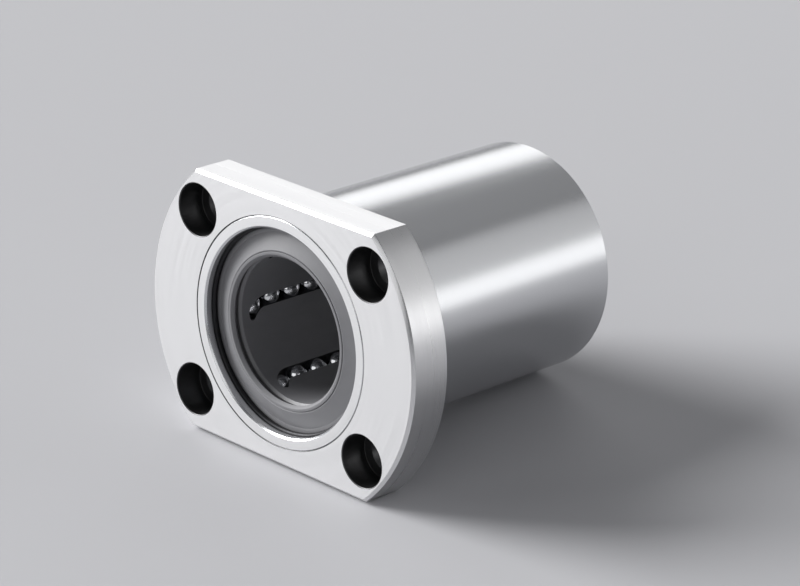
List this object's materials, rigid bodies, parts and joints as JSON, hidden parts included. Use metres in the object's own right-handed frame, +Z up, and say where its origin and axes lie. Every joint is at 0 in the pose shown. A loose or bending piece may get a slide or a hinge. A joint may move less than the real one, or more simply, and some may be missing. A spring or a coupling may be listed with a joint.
{
  "type": "flanged linear bearing",
  "caption": "Flanged linear ball bearing: steel sleeve in a flange cut flat on two sides with counterbored screw holes; recirculating balls guide a round shaft along the bore.",
  "frame": {"origin": "on the bore's axis, in the plane of the flange's rear seating face", "axes": "+Y along the bore from the flange towards the sleeve's rear end, +Z up through the upper flat, X along the flange's long way"},
  "size_m": [0.062, 0.059, 0.046],
  "materials": {
    "ground_flange_steel": "satin ground",
    "bearing_steel": "ground and polished",
    "retainer_plastic": "moulded",
    "seal_plate_steel": "pressed and phosphated",
    "seal_rubber": "moulded",
    "spring_wire": "blackened spring steel",
    "ball_steel": "mirror polished"
  },
  "bodies": {
    "bearing_shell": {"flange": "ground_flange_steel", "outer_sleeve": "bearing_steel", "ball_retainer": "retainer_plastic", "front_seal_plate": "seal_plate_steel", "rear_seal_plate": "seal_plate_steel", "front_seal_lip": "seal_rubber", "rear_seal_lip": "seal_rubber", "front_snap_ring": "spring_wire", "rear_snap_ring": "spring_wire"},
    "loaded_row_1": {"loaded_balls_1": "ball_steel"},
    "return_row_1": {"return_balls_1": "ball_steel"},
    "front_turn_1": {"front_turn_balls_1": "ball_steel"},
    "rear_turn_1": {"rear_turn_balls_1": "ball_steel"},
    "loaded_row_2": {"loaded_balls_2": "ball_steel"},
    "return_row_2": {"return_balls_2": "ball_steel"},
    "front_turn_2": {"front_turn_balls_2": "ball_steel"},
    "rear_turn_2": {"rear_turn_balls_2": "ball_steel"},
    "loaded_row_3": {"loaded_balls_3": "ball_steel"},
    "return_row_3": {"return_balls_3": "ball_steel"},
    "front_turn_3": {"front_turn_balls_3": "ball_steel"},
    "rear_turn_3": {"rear_turn_balls_3": "ball_steel"},
    "loaded_row_4": {"loaded_balls_4": "ball_steel"},
    "return_row_4": {"return_balls_4": "ball_steel"},
    "front_turn_4": {"front_turn_balls_4": "ball_steel"},
    "rear_turn_4": {"rear_turn_balls_4": "ball_steel"},
    "loaded_row_5": {"loaded_balls_5": "ball_steel"},
    "return_row_5": {"return_balls_5": "ball_steel"},
    "front_turn_5": {"front_turn_balls_5": "ball_steel"},
    "rear_turn_5": {"rear_turn_balls_5": "ball_steel"},
    "loaded_row_6": {"loaded_balls_6": "ball_steel"},
    "return_row_6": {"return_balls_6": "ball_steel"},
    "front_turn_6": {"front_turn_balls_6": "ball_steel"},
    "rear_turn_6": {"rear_turn_balls_6": "ball_steel"}
  },
  "joints": [
    {"name": "loaded_row_1_roll", "type": "slide", "parent": "bearing_shell", "child": "loaded_row_1", "axis": [0, 1, 0], "range_m": [-0.00229, 0.00229]},
    {"name": "return_row_1_roll", "type": "slide", "parent": "bearing_shell", "child": "return_row_1", "axis": [0, 1, 0], "range_m": [-0.00229, 0.00229]},
    {"name": "front_turn_1_roll", "type": "hinge", "parent": "bearing_shell", "child": "front_turn_1", "pos_m": [0.01448, 0.00086, 0.00292], "axis": [1, 0, 0], "range_deg": [-45, 45]},
    {"name": "rear_turn_1_roll", "type": "hinge", "parent": "bearing_shell", "child": "rear_turn_1", "pos_m": [0.01448, 0.04214, 0.00292], "axis": [1, 0, 0], "range_deg": [-45, 45]},
    {"name": "loaded_row_2_roll", "type": "slide", "parent": "bearing_shell", "child": "loaded_row_2", "axis": [0, 1, 0], "range_m": [-0.00229, 0.00229]},
    {"name": "return_row_2_roll", "type": "slide", "parent": "bearing_shell", "child": "return_row_2", "axis": [0, 1, 0], "range_m": [-0.00229, 0.00229]},
    {"name": "front_turn_2_roll", "type": "hinge", "parent": "bearing_shell", "child": "front_turn_2", "pos_m": [0.00471, 0.00086, 0.014], "axis": [0.5, 0, 0.866], "range_deg": [-45, 45]},
    {"name": "rear_turn_2_roll", "type": "hinge", "parent": "bearing_shell", "child": "rear_turn_2", "pos_m": [0.00471, 0.04214, 0.014], "axis": [0.5, 0, 0.866], "range_deg": [-45, 45]},
    {"name": "loaded_row_3_roll", "type": "slide", "parent": "bearing_shell", "child": "loaded_row_3", "axis": [0, 1, 0], "range_m": [-0.00229, 0.00229]},
    {"name": "return_row_3_roll", "type": "slide", "parent": "bearing_shell", "child": "return_row_3", "axis": [0, 1, 0], "range_m": [-0.00229, 0.00229]},
    {"name": "front_turn_3_roll", "type": "hinge", "parent": "bearing_shell", "child": "front_turn_3", "pos_m": [-0.00977, 0.00086, 0.01108], "axis": [-0.5, 0, 0.866], "range_deg": [-45, 45]},
    {"name": "rear_turn_3_roll", "type": "hinge", "parent": "bearing_shell", "child": "rear_turn_3", "pos_m": [-0.00977, 0.04214, 0.01108], "axis": [-0.5, 0, 0.866], "range_deg": [-45, 45]},
    {"name": "loaded_row_4_roll", "type": "slide", "parent": "bearing_shell", "child": "loaded_row_4", "axis": [0, 1, 0], "range_m": [-0.00229, 0.00229]},
    {"name": "return_row_4_roll", "type": "slide", "parent": "bearing_shell", "child": "return_row_4", "axis": [0, 1, 0], "range_m": [-0.00229, 0.00229]},
    {"name": "front_turn_4_roll", "type": "hinge", "parent": "bearing_shell", "child": "front_turn_4", "pos_m": [-0.01448, 0.00086, -0.00292], "axis": [-1, 0, 0], "range_deg": [-45, 45]},
    {"name": "rear_turn_4_roll", "type": "hinge", "parent": "bearing_shell", "child": "rear_turn_4", "pos_m": [-0.01448, 0.04214, -0.00292], "axis": [-1, 0, 0], "range_deg": [-45, 45]},
    {"name": "loaded_row_5_roll", "type": "slide", "parent": "bearing_shell", "child": "loaded_row_5", "axis": [0, 1, 0], "range_m": [-0.00229, 0.00229]},
    {"name": "return_row_5_roll", "type": "slide", "parent": "bearing_shell", "child": "return_row_5", "axis": [0, 1, 0], "range_m": [-0.00229, 0.00229]},
    {"name": "front_turn_5_roll", "type": "hinge", "parent": "bearing_shell", "child": "front_turn_5", "pos_m": [-0.00471, 0.00086, -0.014], "axis": [-0.5, 0, -0.866], "range_deg": [-45, 45]},
    {"name": "rear_turn_5_roll", "type": "hinge", "parent": "bearing_shell", "child": "rear_turn_5", "pos_m": [-0.00471, 0.04214, -0.014], "axis": [-0.5, 0, -0.866], "range_deg": [-45, 45]},
    {"name": "loaded_row_6_roll", "type": "slide", "parent": "bearing_shell", "child": "loaded_row_6", "axis": [0, 1, 0], "range_m": [-0.00229, 0.00229]},
    {"name": "return_row_6_roll", "type": "slide", "parent": "bearing_shell", "child": "return_row_6", "axis": [0, 1, 0], "range_m": [-0.00229, 0.00229]},
    {"name": "front_turn_6_roll", "type": "hinge", "parent": "bearing_shell", "child": "front_turn_6", "pos_m": [0.00977, 0.00086, -0.01108], "axis": [0.5, 0, -0.866], "range_deg": [-45, 45]},
    {"name": "rear_turn_6_roll", "type": "hinge", "parent": "bearing_shell", "child": "rear_turn_6", "pos_m": [0.00977, 0.04214, -0.01108], "axis": [0.5, 0, -0.866], "range_deg": [-45, 45]}
  ],
  "couplings": [
    {"joint": "return_row_1_roll", "follows": "loaded_row_1_roll", "ratio": -1},
    {"joint": "front_turn_1_roll", "follows": "loaded_row_1_roll", "rad_per_m": 342.47},
    {"joint": "rear_turn_1_roll", "follows": "loaded_row_1_roll", "rad_per_m": 342.47},
    {"joint": "return_row_2_roll", "follows": "loaded_row_2_roll", "ratio": -1},
    {"joint": "front_turn_2_roll", "follows": "loaded_row_2_roll", "rad_per_m": 342.47},
    {"joint": "rear_turn_2_roll", "follows": "loaded_row_2_roll", "rad_per_m": 342.47},
    {"joint": "return_row_3_roll", "follows": "loaded_row_3_roll", "ratio": -1},
    {"joint": "front_turn_3_roll", "follows": "loaded_row_3_roll", "rad_per_m": 342.47},
    {"joint": "rear_turn_3_roll", "follows": "loaded_row_3_roll", "rad_per_m": 342.47},
    {"joint": "return_row_4_roll", "follows": "loaded_row_4_roll", "ratio": -1},
    {"joint": "front_turn_4_roll", "follows": "loaded_row_4_roll", "rad_per_m": 342.47},
    {"joint": "rear_turn_4_roll", "follows": "loaded_row_4_roll", "rad_per_m": 342.47},
    {"joint": "return_row_5_roll", "follows": "loaded_row_5_roll", "ratio": -1},
    {"joint": "front_turn_5_roll", "follows": "loaded_row_5_roll", "rad_per_m": 342.47},
    {"joint": "rear_turn_5_roll", "follows": "loaded_row_5_roll", "rad_per_m": 342.47},
    {"joint": "return_row_6_roll", "follows": "loaded_row_6_roll", "ratio": -1},
    {"joint": "front_turn_6_roll", "follows": "loaded_row_6_roll", "rad_per_m": 342.47},
    {"joint": "rear_turn_6_roll", "follows": "loaded_row_6_roll", "rad_per_m": 342.47}
  ]
}
